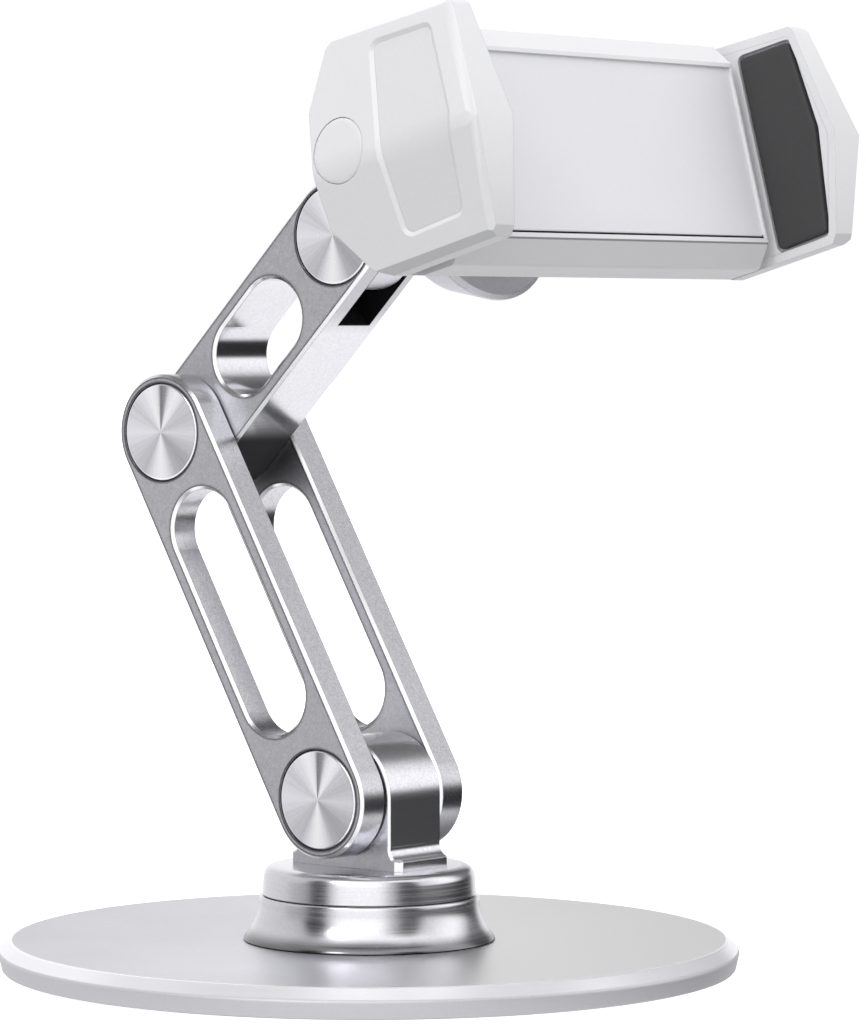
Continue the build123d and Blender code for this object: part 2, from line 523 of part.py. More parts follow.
def jaw_parts(v):
    """Left jaw pieces in holder coordinates; v is the side of the pinion its rack runs on."""
    side = -1
    outer = body_of(0, 0, 0)
    core = body_of(2.9, 1.8, 0)
    cavity = core & box_xnu(-70, -JAW_IN + 5, 30, 100, -40, 40)
    inset13 = convex([(p, n, 1.3) for p, n in outer_planes])
    recess = rounded_prism(-66, -50, INLAY, 2.0) - inset13
    shell = outer - cavity - recess
    # screw boss
    shell += (cyl_x(-60, -55.5, (-CAP_NU[0], CAP_NU[1]), 4.2) & outer) - recess
    shell -= cyl_x(-64, -59.2, (-CAP_NU[0], CAP_NU[1]), 6.35)
    shell -= cyl_x(-59.3, -57.0, (-CAP_NU[0], CAP_NU[1]), 3.3)
    shell -= cyl_x(-64, -55.0, (-CAP_NU[0], CAP_NU[1]), 1.6)
    lo, hi = (7.8, 15.2) if v > 0 else (-15.2, -7.8)
    shell -= box_xnu(-55.4, -46, 47.8, 54.2, lo, hi)
    inlay = rounded_prism(-66, -50, inset_poly(INLAY, 0.1), 1.9) & convex([(p, n, 0.55) for p, n in outer_planes])
    inlay -= inset13
    # inner plate closes the shell and carries the pad
    plate_in = body_of(0, 1.85, 0) & box_xnu(-53.0, -JAW_IN, 30, 100, -40, 40)
    plate_in -= box_xnu(-54, -48, 47.8, 54.2, lo, hi)
    pad_seat = rounded_prism(-52.2, -50, inset_poly(PAD_PTS, -0.08), 1.6)
    plate_in -= pad_seat
    shell -= pad_seat
    pad = rounded_prism(-52.2, -PAD_FACE, PAD_PTS, 1.6)
    pad = fillet(pad.faces().sort_by(Axis.X)[-1].edges(), 0.4)
    cap_ = spun_cap(-59.2, -61.15, (-CAP_NU[0], CAP_NU[1]), r=6.2)
    screw = cyl_x(-59.1, -57.0, (-CAP_NU[0], CAP_NU[1]), 3.1) + cyl_x(-57.0, -53.2, (-CAP_NU[0], CAP_NU[1]), 1.6)
    screw -= extrude(Plane(origin=(-59.2, -CAP_NU[0], CAP_NU[1]), x_dir=(0, 1, 0), z_dir=(1, 0, 0)) * RegularPolygon(1.6, 6), amount=1.3)
    return {"jaw_shell": shell, "jaw_inner_plate": plate_in, "jaw_pad": pad, "jaw_inlay": inlay, "jaw_screw_cap": cap_, "jaw_screw": screw}


for k, s in jaw_parts(1).items():
    save("left_" + k, HOLD * s)
for k, s in jaw_parts(-1).items():
    save("right_" + k, HOLD * mirror(s, about=Plane.YZ))
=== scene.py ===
# Looks of a desktop phone stand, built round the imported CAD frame: a round base, a swivel,
# two tilting arms and a two-jaw phone clamp. The scene is in metres, +Z up, with the base on
# z = 0, the front of the clamp towards -Y and its left jaw at -X. Shapes are drawn in
# millimetres; shader sizes are in metres.
import bpy
import bmesh
import json
import math
from mathutils import Matrix, Vector
from mathutils.geometry import delaunay_2d_cdt


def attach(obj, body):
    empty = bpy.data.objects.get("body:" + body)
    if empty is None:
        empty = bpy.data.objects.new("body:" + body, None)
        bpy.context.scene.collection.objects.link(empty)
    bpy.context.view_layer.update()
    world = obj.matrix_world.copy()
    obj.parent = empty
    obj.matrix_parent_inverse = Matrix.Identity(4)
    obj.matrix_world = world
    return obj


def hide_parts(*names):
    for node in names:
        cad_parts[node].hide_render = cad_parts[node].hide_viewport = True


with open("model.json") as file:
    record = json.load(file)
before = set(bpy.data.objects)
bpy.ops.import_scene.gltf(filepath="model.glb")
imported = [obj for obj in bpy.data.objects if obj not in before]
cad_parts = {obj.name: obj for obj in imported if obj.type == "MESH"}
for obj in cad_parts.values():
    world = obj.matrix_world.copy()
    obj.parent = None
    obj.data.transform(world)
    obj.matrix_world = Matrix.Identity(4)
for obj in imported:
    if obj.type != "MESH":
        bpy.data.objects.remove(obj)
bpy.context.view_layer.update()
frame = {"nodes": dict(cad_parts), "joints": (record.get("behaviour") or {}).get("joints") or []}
JOINT = {joint["name"]: joint for joint in frame["joints"]}
MM = 0.001

# ------------------------------------------------------------------ driving places
PIVOT = Vector(JOINT["lower_arm_tilt"]["pos_m"]) / MM
ELBOW = Vector(JOINT["upper_arm_tilt"]["pos_m"]) / MM
HEAD = Vector(JOINT["holder_tilt"]["pos_m"]) / MM
X_AXIS = Vector((1, 0, 0))
HOLDER_FRONT = Vector(JOINT["holder_rotation"]["axis"]).normalized()
HOLDER_UP = HOLDER_FRONT.cross(X_AXIS).normalized()
HOLDER_LEAN = math.radians(15)      # how far the clamp leans back
FORK_LEAN = math.radians(45.25)     # upper arm from the vertical, towards -Y
DISC_R = 75.0
TO_CAMERA = (-0.763, -0.6464)       # level x, y direction the world lighting is centred on


def holder_point(x, front, up):
    """Holder coordinates (mm, from the head joint) to the scene's axes in mm."""
    return HEAD + X_AXIS * x + HOLDER_FRONT * front + HOLDER_UP * up


# ------------------------------------------------------------------ outlines
def ring(count, radius):
    angles = [2 * math.pi * i / count for i in range(count)]
    return [(radius * math.cos(angle), radius * math.sin(angle)) for angle in angles]


def corner_arc(before, corner, after, radius, steps):
    """Points of the arc that rounds a 2-D corner."""
    corner = Vector(corner)
    back = Vector(before) - corner
    ahead = Vector(after) - corner
    back_length, ahead_length = back.length, ahead.length
    back.normalize()
    ahead.normalize()
    half = back.angle(ahead) / 2
    reach = min(radius / math.tan(half), back_length * 0.48, ahead_length * 0.48)
    fitted = reach * math.tan(half)
    centre = corner + (back + ahead).normalized() * (fitted / math.sin(half))
    start = corner + back * reach - centre
    end = corner + ahead * reach - centre
    return [centre + start.slerp(end, k / steps) for k in range(steps + 1)]


def rounded_profile(profile, corners, radius, steps):
    """Rounds the corners, given by index, of a closed (radius, height, material) profile."""
    points = []
    for i, (r, height, material) in enumerate(profile):
        if i not in corners:
            points.append((r, height, material))
            continue
        before, after = profile[i - 1], profile[(i + 1) % len(profile)]
        arc = corner_arc(before[:2], (r, height), after[:2], radius, steps)
        points += [(p.x, p.y, before[2]) for p in arc[:-1]]
        points.append((arc[-1].x, arc[-1].y, material))
    return points


def round_poly(points, radius, steps):
    """Closed 2-D polygon with every corner rounded."""
    rounded = []
    for i, point in enumerate(points):
        after = points[(i + 1) % len(points)]
        rounded += corner_arc(points[i - 1], point, after, radius, steps)
    return rounded


def counter_clockwise(poly):
    area = 0.5 * sum(poly[i - 1].x * poly[i].y - poly[i].x * poly[i - 1].y
                     for i in range(len(poly)))
    return poly if area > 0 else list(reversed(poly))


def offset_poly(poly, distance):
    """Moves each point of a counter-clockwise polygon outwards."""
    if abs(distance) < 1e-9:
        return [point.copy() for point in poly]
    moved = []
    for i, point in enumerate(poly):
        into = point - poly[i - 1]
        away = poly[(i + 1) % len(poly)] - point
        normal_in = Vector((into.y, -into.x)).normalized()
        normal_out = Vector((away.y, -away.x)).normalized()
        mitre = normal_in + normal_out
        mitre.normalize()
        moved.append(point + mitre * (distance / max(0.3, mitre.dot(normal_in))))
    return moved


def densify(poly, step):
    """Divides the sides so that none is longer than step."""
    points = []
    for i, start in enumerate(poly):
        end = poly[(i + 1) % len(poly)]
        parts = max(1, int(math.ceil((end - start).length / step)))
        points += [start.lerp(end, j / parts) for j in range(parts)]
    return points


def inside(poly, p):
    odd = False
    for i in range(len(poly)):
        a, b = poly[i - 1], poly[i]
        if (a.y > p.y) != (b.y > p.y) and p.x < (b.x - a.x) * (p.y - a.y) / (b.y - a.y) + a.x:
            odd = not odd
    return odd


def near(poly, p, distance):
    for i in range(len(poly)):
        start = poly[i - 1]
        side = poly[i] - start
        t = max(0.0, min(1.0, (p - start).dot(side) / max(side.length_squared, 1e-12)))
        if (start + side * t - p).length < distance:
            return True
    return False


# ------------------------------------------------------------------ solids
def lathe(profile, place, segments):
    """Solid of revolution from a closed profile of (radius, height, material).

    place(x, y, height) gives the 3-D point; a zero radius makes a single vertex."""
    bm = bmesh.new()
    rows = []
    for radius, height, _material in profile:
        points = [(0.0, 0.0)] if radius < 1e-6 else ring(segments, radius)
        rows.append([bm.verts.new(place(x, y, height)) for x, y in points])
    for i, row in enumerate(rows):
        above = rows[(i + 1) % len(rows)]
        if len(row) == 1 and len(above) == 1:
            continue
        for k in range(segments):
            k2 = (k + 1) % segments
            if len(row) == 1:
                corners = (row[0], above[k], above[k2])
            elif len(above) == 1:
                corners = (row[k], above[0], row[k2])
            else:
                corners = (row[k], above[k], above[k2], row[k2])
            bm.faces.new(corners).material_index = profile[i][2]
    return bm


def sheet(bm, poly, border, lift, grid):
    """Fills a closed 2-D outline, whose vertices are border, with a fine triangle grid."""
    points = [p.copy() for p in poly]
    low = Vector((min(p.x for p in poly), min(p.y for p in poly)))
    high = Vector((max(p.x for p in poly), max(p.y for p in poly)))
    y = low.y + grid / 2
    while y < high.y:
        x = low.x + grid / 2
        while x < high.x:
            p = Vector((x, y))
            if inside(poly, p) and not near(poly, p, grid * 0.45):
                points.append(p)
            x += grid
        y += grid
    count = len(poly)
    edges = [(i, (i + 1) % count) for i in range(count)]
    flat, _, faces, sources, _, _ = delaunay_2d_cdt(points, edges, [], 1, 1e-7)
    verts = []
    for k, p in enumerate(flat):
        on_border = [i for i in sources[k] if i < count]
        verts.append(border[on_border[0]] if on_border else bm.verts.new(lift(p)))
    for face in faces:
        corners = [verts[i] for i in face]
        if len(set(corners)) == len(corners):
            # guards against a triangle that is already there
            try:
                bm.faces.new(corners)
            except ValueError:
                pass


def slab(outline, rows, place, grid):
    """Closed solid from a 2-D outline. rows: [(offset, height)] from one face to the other."""
    bm = bmesh.new()
    base = counter_clockwise([Vector(p) for p in outline])
    built = []
    for offset, height in rows:
        poly = offset_poly(base, offset)
        verts = [bm.verts.new(place(p.x, p.y, height)) for p in poly]
        built.append((poly, verts, height))
    for (_, row, _), (_, above, _) in zip(built, built[1:]):
        for j in range(len(row)):
            j2 = (j + 1) % len(row)
            bm.faces.new((row[j], row[j2], above[j2], above[j]))
    for poly, verts, height in (built[0], built[-1]):
        sheet(bm, poly, verts, lambda p, h=height: place(p.x, p.y, h), grid)
    return bm


def cut_planes(planes, box):
    """Convex solid: a box cut by half spaces (point, outward normal)."""
    bm = bmesh.new()
    (x0, y0, z0), (x1, y1, z1) = box
    verts = [bm.verts.new((x, y, z)) for x in (x0, x1) for y in (y0, y1) for z in (z0, z1)]
    for quad in ((0, 1, 3, 2), (4, 6, 7, 5), (0, 4, 5, 1),
                 (2, 3, 7, 6), (0, 2, 6, 4), (1, 5, 7, 3)):
        bm.faces.new([verts[i] for i in quad])
    bmesh.ops.recalc_face_normals(bm, faces=bm.faces)
    for point, normal in planes:
        geom = list(bm.verts) + list(bm.edges) + list(bm.faces)
        result = bmesh.ops.bisect_plane(bm, geom=geom, dist=1e-5, plane_co=point,
                                        plane_no=normal, clear_outer=True)
        cut = [e for e in result["geom_cut"] if isinstance(e, bmesh.types.BMEdge)]
        cut = [e for e in cut if e.is_valid and len(e.link_faces) == 1]
        if cut:
            bmesh.ops.edgeloop_fill(bm, edges=cut)
        bmesh.ops.remove_doubles(bm, verts=bm.verts, dist=1e-4)
    bmesh.ops.dissolve_limit(bm, angle_limit=math.radians(0.15), verts=bm.verts, edges=bm.edges)
    bmesh.ops.recalc_face_normals(bm, faces=bm.faces)
    return bm


# ------------------------------------------------------------------ objects
def to_object(name, bm):
    mesh = bpy.data.meshes.new(name)
    bm.to_mesh(mesh)
    bm.free()
    ob = bpy.data.objects.new(name, mesh)
    bpy.context.scene.collection.objects.link(ob)
    return ob


def remove_object(ob):
    mesh = ob.data
    bpy.data.objects.remove(ob)
    bpy.data.meshes.remove(mesh)


def carve(ob, cutter_bm):
    """Takes the cutter's solid out of the object with an exact boolean."""
    bmesh.ops.recalc_face_normals(cutter_bm, faces=cutter_bm.faces)
    cutter = to_object("cutter", cutter_bm)
    modifier = ob.modifiers.new("cut", "BOOLEAN")
    modifier.operation = "DIFFERENCE"
    modifier.solver = "EXACT"
    modifier.object = cutter
    bpy.context.view_layer.update()
    depsgraph = bpy.context.evaluated_depsgraph_get()
    carved = bpy.data.meshes.new_from_object(ob.evaluated_get(depsgraph))
    ob.modifiers.remove(modifier)
    old = ob.data
    ob.data = carved
    bpy.data.meshes.remove(old)
    remove_object(cutter)


def add_piece(name, bm, materials, body, node, sharp):
    """Turns a bmesh in mm into a piece that rides on a CAD body and replaces a CAD node.

    Edges that bend by more than sharp degrees stay sharp."""
    bmesh.ops.remove_doubles(bm, verts=bm.verts, dist=0.0005)
    bmesh.ops.recalc_face_normals(bm, faces=bm.faces)
    bmesh.ops.scale(bm, vec=(MM, MM, MM), verts=bm.verts)
    for face in bm.faces:
        face.smooth = True
    limit = math.radians(sharp)
    for edge in bm.edges:
        edge.smooth = not (len(edge.link_faces) == 2 and edge.calc_face_angle(0.0) > limit)
    ob = to_object(name, bm)
    for material in materials:
        ob.data.materials.append(material)
    weighted = ob.modifiers.new("weighted", "WEIGHTED_NORMAL")
    weighted.keep_sharp = True
    weighted.mode = "FACE_AREA_WITH_ANGLE"
    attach(ob, body)
    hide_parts(node)


# ------------------------------------------------------------------ shader graphs
NOISE_SPAN = (0.3, 0.7)         # where most noise values fall
WIDE_NOISE_SPAN = (0.25, 0.75)


class Graph:
    """A cleared node tree with short ways to add nodes. Any value may be a socket."""

    def __init__(self, tree):
        self.tree = tree
        tree.nodes.clear()
        self.coords = self.new("ShaderNodeTexCoord").outputs

    def feed(self, socket, value):
        if isinstance(value, bpy.types.NodeSocket):
            self.tree.links.new(value, socket)
        elif value is not None:
            socket.default_value = value

    def new(self, kind, inputs=None, **settings):
        node = self.tree.nodes.new(kind)
        for key, value in settings.items():
            setattr(node, key, value)
        for key, value in (inputs or {}).items():
            self.feed(node.inputs[key], value)
        return node

    def math(self, operation, first, second=None):
        return self.new("ShaderNodeMath", {0: first, 1: second}, operation=operation).outputs[0]

    def plus(self, first, second):
        return self.math("ADD", first, second)

    def minus(self, first, second):
        return self.math("SUBTRACT", first, second)

    def times(self, first, second):
        return self.math("MULTIPLY", first, second)

    def length(self, a, b):
        return self.math("SQRT", self.plus(self.times(a, a), self.times(b, b)))

    def remap(self, value, source, target, smooth=False):
        """Clamped map from the source range to the target range."""
        inputs = {"Value": value, "From Min": source[0], "From Max": source[1],
                  "To Min": target[0], "To Max": target[1]}
        kind = "SMOOTHSTEP" if smooth else "LINEAR"
        return self.new("ShaderNodeMapRange", inputs, interpolation_type=kind).outputs[0]

    def ramp(self, value, stops, interpolation="LINEAR"):
        """Grey ramp. stops: [(position, brightness)]."""
        node = self.new("ShaderNodeValToRGB", {0: value})
        node.color_ramp.interpolation = interpolation
        elements = node.color_ramp.elements
        while len(elements) > 1:
            elements.remove(elements[-1])
        elements[0].position = stops[0][0]
        elements[0].color = (stops[0][1],) * 3 + (1,)
        for position, brightness in stops[1:]:
            elements.new(position).color = (brightness,) * 3 + (1,)
        return node.outputs[0]

    def mix(self, factor, first, second, blend="MIX"):
        """Mix of two colours."""
        inputs = {0: factor, 6: first, 7: second}
        return self.new("ShaderNodeMix", inputs, data_type="RGBA", blend_type=blend).outputs[2]

    def blend(self, factor, first, second):
        """Mix of two numbers."""
        inputs = {0: factor, 2: first, 3: second}
        return self.new("ShaderNodeMix", inputs, data_type="FLOAT").outputs[0]

    def rgb(self, channels):
        return self.new("ShaderNodeCombineColor", dict(enumerate(channels))).outputs[0]

    def xyz(self, vector):
        return self.new("ShaderNodeSeparateXYZ", {0: vector}).outputs

    def noise(self, scale, detail, rough, stretch=None):
        """Noise in object space, on axes scaled by stretch."""
        vector = self.coords["Object"]
        if stretch:
            vector = self.new("ShaderNodeMapping", {0: vector, "Scale": stretch}).outputs[0]
        inputs = {"Vector": vector, "Scale": scale, "Detail": detail, "Roughness": rough}
        return self.new("ShaderNodeTexNoise", inputs).outputs["Fac"]

    def line_noise(self, value, scale, detail):
        """One-dimensional noise along value."""
        inputs = {"W": value, "Scale": scale, "Detail": detail}
        node = self.new("ShaderNodeTexNoise", noise_dimensions="1D", inputs=inputs)
        return node.outputs["Fac"]

    def speckle(self, noise, amount):
        """Noise as a swing of plus or minus amount."""
        return self.times(self.remap(noise, NOISE_SPAN, (-1, 1)), amount)

    def bump(self, height, strength, distance, normal=None):
        inputs = {"Strength": strength, "Distance": distance, "Height": height,
                  "Normal": normal}
        return self.new("ShaderNodeBump", inputs).outputs[0]

    def bevel(self, radius, samples=4):
        return self.new("ShaderNodeBevel", {"Radius": radius}, samples=samples).outputs[0]


class Material(Graph):
    """A material with a Principled shader on its output."""

    def __init__(self, name):
        self.material = bpy.data.materials.new(name)
        self.material.use_nodes = True
        super().__init__(self.material.node_tree)
        self.shader = self.new("ShaderNodeBsdfPrincipled")
        self.output = self.new("ShaderNodeOutputMaterial", {0: self.shader.outputs[0]})

    def put(self, inputs):
        """Feeds the Principled shader and returns the material."""
        for key, value in inputs.items():
            self.feed(self.shader.inputs[key], value)
        return self.material


# ------------------------------------------------------------------ blasted aluminium
GAP_SHADE = (0.03, 0.03, 0.033, 1)
LINE_SHADE = (0.04, 0.04, 0.045, 1)
BLASTED_RELIEF = 0.22
# upper arm, metres: the painted black shade inside the fork starts this far from the elbow,
# between these x
FORK_START = 0.0431
FORK_X = (-0.0039, 0.0056)


def painted_side_light(g, colour, painted_light_slope):
    """Painted light and shade: brightens the disc towards the camera's right and darkens it
    towards the left.
    """
    x, y, _ = g.xyz(g.coords["Object"])
    radius = DISC_R * MM
    side = g.plus(g.times(x, 0.646 / radius), g.times(y, -0.763 / radius))
    tone = g.remap(side, (-1.0, 1.0), (1.0 - painted_light_slope, 1.0 + painted_light_slope))
    return g.mix(1.0, colour, g.rgb([tone] * 3), "MULTIPLY")


def painted_chamfer_line(g, colour, lean, strength):
    """Painted dark reflection: a thin dark line where a side face meets its chamfer."""
    to_object_space = g.new("ShaderNodeVectorTransform", {0: g.bevel(0.0010, samples=8)},
                            vector_type="NORMAL", convert_from="WORLD", convert_to="OBJECT")
    soft_lean = g.math("ABSOLUTE", g.xyz(to_object_space.outputs[0])[0])
    shade_line = g.times(g.remap(soft_lean, (0.978, 0.997), (1, 0)),
                   g.remap(lean, (0.97, 0.99), (0, 1)))
    return g.mix(g.times(shade_line, strength), colour, LINE_SHADE)


def elbow_painted_shade(g, colour):
    """Painted shade: the inner faces of the two lower plates darken towards the elbow joint."""
    x, y, z = g.xyz(g.coords["Object"])
    distance = g.length(g.minus(y, ELBOW.y * MM), g.minus(z, ELBOW.z * MM))
    mask = g.times(g.remap(distance, (0.011, 0.026), (0.8, 0.0), smooth=True),
                   g.remap(g.math("ABSOLUTE", x), (0.00865, 0.0088), (1, 0)))
    return g.mix(mask, colour, GAP_SHADE)


def fork_shading(g, colour, rough, normal, lean):
    """Painted black shade inside the fork and painted shade at the ends of the upper arm's front
    face.
    """
    def walls():
        return g.remap(lean, (0.10, 0.25), (1, 0))

    x, y, z = g.xyz(g.coords["Object"])
    arm_y, arm_z = -math.sin(FORK_LEAN), math.cos(FORK_LEAN)
    along = g.plus(g.times(g.minus(y, ELBOW.y * MM), arm_y),
                   g.times(g.minus(z, ELBOW.z * MM), arm_z))
    left, right = FORK_X
    fork_slot_shade = g.times(g.remap(along, (FORK_START - 0.0004, FORK_START - 0.0001), (0, 1)),
                    g.remap(x, (left - 0.0002, left - 0.0001), (0, 1)))
    fork_slot_shade = g.times(fork_slot_shade, g.remap(x, (right + 0.0001, right + 0.0002), (1, 0)))
    colour = g.mix(fork_slot_shade, colour, (0.012, 0.012, 0.013, 1))
    front = g.plus(g.times(normal[1], -arm_z), g.times(normal[2], arm_y))
    front = g.remap(front, (-0.1, 0.3), (0, 1), smooth=True)
    # the front face runs into deep shade where it dives between the lower plates
    deep = g.times(g.remap(along, (0.0085, 0.0165), (1, 0), smooth=True), walls())
    deep = g.times(deep, front)
    colour = g.mix(g.times(deep, 0.95), colour, (0.02, 0.02, 0.022, 1))
    metallic = g.minus(1.0, g.math("MAXIMUM", deep, fork_slot_shade))
    # painted shade darkens the front face towards the fork's tip
    tip_shade = g.times(g.remap(along, (0.0405, 0.0475), (0, 0.42)), walls())
    colour = g.mix(g.times(tip_shade, front), colour, (0.15, 0.15, 0.155, 1))
    g.put({"Metallic": metallic, "Specular IOR Level": 0.0})
    return colour, g.blend(fork_slot_shade, rough, 0.5)


def blasted(name, base, rough, grain, bevel=0.00022, painted_light_slope=0.0, chamfer_rough=None,
            wall_base=None, wall_rough=None, wall_grain=None, painted_hairline=0.0,
            elbow_shade=False, fork_shade=False):
    """Bead-blasted, clear-anodised aluminium.

    With chamfer_rough, faces that lean off X are diamond-cut chamfers, and the walls square
    to X have a tone, roughness and share of the grain of their own."""
    g = Material(name)
    fine = g.noise(scale=2600.0, detail=2.0, rough=0.6)
    middle = g.noise(scale=900.0, detail=2.0, rough=0.5)
    wide = g.noise(scale=45.0, detail=3.0, rough=0.5)
    tone = g.plus(g.speckle(fine, grain), g.speckle(middle, grain * 0.45))
    tone = g.plus(g.plus(tone, g.speckle(wide, 0.02)), 1.0)
    tint = (base * 0.994, base * 0.990, base * 1.040, 1.0)
    colour = g.mix(1.0, tint, g.rgb([tone] * 3), "MULTIPLY")
    roughness = g.remap(fine, WIDE_NOISE_SPAN, (rough - 0.05, rough + 0.06))
    relief = BLASTED_RELIEF
    g.put({"Metallic": 1.0})
    if painted_light_slope:
        colour = painted_side_light(g, colour, painted_light_slope)
    if chamfer_rough:
        normal = g.xyz(g.coords["Normal"])
        lean = g.math("ABSOLUTE", normal[0])
        chamfer = g.times(g.remap(lean, (0.30, 0.45), (0, 1)),
                          g.remap(lean, (0.88, 0.95), (1, 0)))
        colour = g.mix(chamfer, colour, (0.90, 0.90, 0.90, 1))
        roughness = g.blend(chamfer, roughness, chamfer_rough)
        relief = g.blend(chamfer, BLASTED_RELIEF, 0.02)
        wall = g.remap(lean, (0.10, 0.25), (1, 0))
        channels = [g.times(g.plus(g.times(g.minus(tone, 1.0), wall_grain), 1.0),
                            wall_base * part) for part in (0.995, 0.992, 1.038)]
        colour = g.mix(wall, colour, g.rgb(channels))
        roughness = g.blend(wall, roughness, wall_rough)
        relief = g.blend(wall, relief, 0.13)
    # painted dark reflection line along the chamfers, painted shade at the elbow and inside the
    # fork
    if painted_hairline:
        colour = painted_chamfer_line(g, colour, lean, painted_hairline)
    if elbow_shade:
        colour = elbow_painted_shade(g, colour)
    if fork_shade:
        colour, roughness = fork_shading(g, colour, roughness, normal, lean)
    rounding = g.bevel(bevel) if bevel else None
    return g.put({"Base Color": colour, "Roughness": roughness,
                  "Normal": g.bump(fine, relief, distance=0.00003, normal=rounding)})


# ------------------------------------------------------------------ other metals
def turned_metal(name, base, rough, grain=0.03, metallic=1.0, foot_shade=False):
    """Finely turned and polished aluminium, grooves running round the vertical axis."""
    g = Material(name)
    lines = g.noise(scale=1.0, detail=2.0, rough=0.6, stretch=(20.0, 20.0, 5200.0))
    fine = g.noise(scale=2400.0, detail=2.0, rough=0.5)
    tone = g.plus(g.speckle(lines, grain), g.speckle(fine, grain * 1.2))
    tone = g.times(g.plus(tone, 1.0), base)
    if foot_shade:
        # painted shade: the foot darkens towards the disc, with nearly black painted shade at
        # the seam at the bottom
        z = g.xyz(g.coords["Object"])[2]
        tone = g.times(tone, g.remap(z, (0.0062, 0.0092), (0.30, 1.0), smooth=True))
        tone = g.times(tone, g.remap(z, (0.00604, 0.00612), (0.06, 1.0)))
    height = g.plus(g.times(lines, 0.6), g.times(fine, 0.4))
    return g.put({"Metallic": metallic,
                  "Base Color": g.rgb((tone, g.times(tone, 0.994), g.times(tone, 1.035))),
                  "Roughness": g.remap(lines, NOISE_SPAN, (rough - 0.04, rough + 0.05)),
                  "Normal": g.bump(height, strength=0.12, distance=0.00002)})


# painted reflection wedges on the spun caps: (share of a turn about X from -Y, through -Z, +Y
# and +Z; brightness)
PAINTED_WEDGES = [
    (0.0, 0.85), (0.05, 0.74), (0.12, 0.58), (0.17, 0.66), (0.215, 1.0), (0.25, 1.22),
    (0.285, 1.0), (0.33, 0.70), (0.42, 0.78), (0.5, 0.92), (0.6, 0.80), (0.66, 0.95),
    (0.70, 1.2), (0.735, 0.95), (0.75, 0.40), (0.775, 0.50), (0.80, 1.0), (0.83, 1.2),
    (0.88, 0.78), (0.95, 0.72), (1.0, 0.85)]


def spun_metal(name):
    """Lathe-spun cap face: fine concentric grooves, with painted bright and dark reflection
    wedges, streaked along the turn, and a painted glow on the bright ones.
    """
    g = Material(name)
    tangent = g.new("ShaderNodeTangent", direction_type="RADIAL", axis="X").outputs[0]
    generated = g.xyz(g.coords["Generated"])
    y, z = g.minus(generated[1], 0.5), g.minus(generated[2], 0.5)
    rings = g.line_noise(g.length(y, z), scale=190.0, detail=3.0)
    turn = g.plus(g.math("DIVIDE", g.math("ARCTAN2", z, y), 2 * math.pi), 0.5)
    painted_wedges = g.ramp(turn, PAINTED_WEDGES)
    streaks = g.line_noise(turn, scale=60.0, detail=2.0)
    tone = g.plus(painted_wedges, g.remap(streaks, NOISE_SPAN, (-0.05, 0.05)))
    tone = g.times(tone, g.remap(rings, NOISE_SPAN, (0.95, 1.03)))
    return g.put({"Metallic": 1.0,
                  "Base Color": g.rgb((tone, tone, g.times(tone, 1.05))),
                  "Emission Color": (0.99, 0.985, 1.05, 1.0),
                  # painted glow on the bright wedges, standing in for highlights
                  "Emission Strength": g.remap(painted_wedges, (0.45, 1.2), (0.02, 0.34)),
                  "Roughness": g.remap(rings, NOISE_SPAN, (0.26, 0.34)),
                  "Anisotropic": 0.75,
                  "Tangent": tangent,
                  "Normal": g.bump(rings, strength=0.05, distance=0.00002)})


def simple_metal(name, colour, rough, stretch=None):
    """Plain metal, brushed where the noise is stretched."""
    g = Material(name)
    fine = g.noise(scale=1900.0, detail=2.0, rough=0.55)
    brush = g.noise(scale=1.0, detail=2.0, rough=0.6, stretch=stretch) if stretch else fine
    grain = 0.06
    tone = g.remap(brush, NOISE_SPAN, (1 - grain, 1 + grain))
    return g.put({"Metallic": 1.0,
                  "Base Color": g.rgb([g.times(tone, part) for part in colour]),
                  "Roughness": g.remap(fine, NOISE_SPAN, (rough - 0.05, rough + 0.07)),
                  "Normal": g.bump(brush, strength=0.12, distance=0.00002,
                                   normal=g.bevel(0.00012))})


# ------------------------------------------------------------------ plastics
def plastic(name, base, rough, tint=0.02, grain=0.012, relief=0.05, scale=1500.0, shade=None):
    """Moulded plastic: fine spark-eroded texture, slight tone drift.

    shade(graph) gives the mask of the parts painted in deep shade."""
    g = Material(name)
    fine = g.noise(scale, detail=3.0, rough=0.6)
    wide = g.noise(scale=30.0, detail=2.0, rough=0.5)
    tone = g.plus(g.speckle(fine, grain), g.speckle(wide, grain * 0.8))
    tone = g.times(g.plus(tone, 1.0), base)
    colour = g.rgb((tone, tone, g.times(tone, 1.0 + tint)))
    if shade:
        colour = g.mix(shade(g), colour, GAP_SHADE)
    return g.put({"Base Color": colour,
                  "Roughness": g.remap(fine, WIDE_NOISE_SPAN, (rough - 0.03, rough + 0.05)),
                  "IOR": 1.46,
                  "Normal": g.bump(fine, relief, distance=0.00002, normal=g.bevel(0.00025))})


def housing_shade(g):
    """Painted shade in the groove below the front panel and a painted shadow line under the lip,
    in metres.
    """
    def below(value, limit):
        return g.math("LESS_THAN", value, limit)

    def above(value, limit):
        return g.math("GREATER_THAN", value, limit)

    _, y, z = g.xyz(g.coords["Object"])
    y, z = g.minus(y, HEAD.y * MM), g.minus(z, HEAD.z * MM)
    cos, sin = math.cos(HOLDER_LEAN), math.sin(HOLDER_LEAN)
    front = g.plus(g.times(y, -cos), g.times(z, sin))
    up = g.plus(g.times(y, sin), g.times(z, cos))
    groove_shade = g.times(above(up, -0.01812), above(front, 0.0630))
    groove_shade = g.times(below(front, 0.06440), g.times(below(up, -0.0166), groove_shade))
    shade_line = g.times(above(up, -0.01922), above(front, 0.0560))
    shade_line = g.times(below(up, -0.01888), shade_line)
    return g.math("MAXIMUM", g.times(groove_shade, 0.94), g.times(shade_line, 0.6))


def underside_shade(g):
    """Painted shade on faces that look down."""
    return g.remap(g.xyz(g.coords["Normal"])[2], (-0.8, -0.5), (0.95, 0.0))


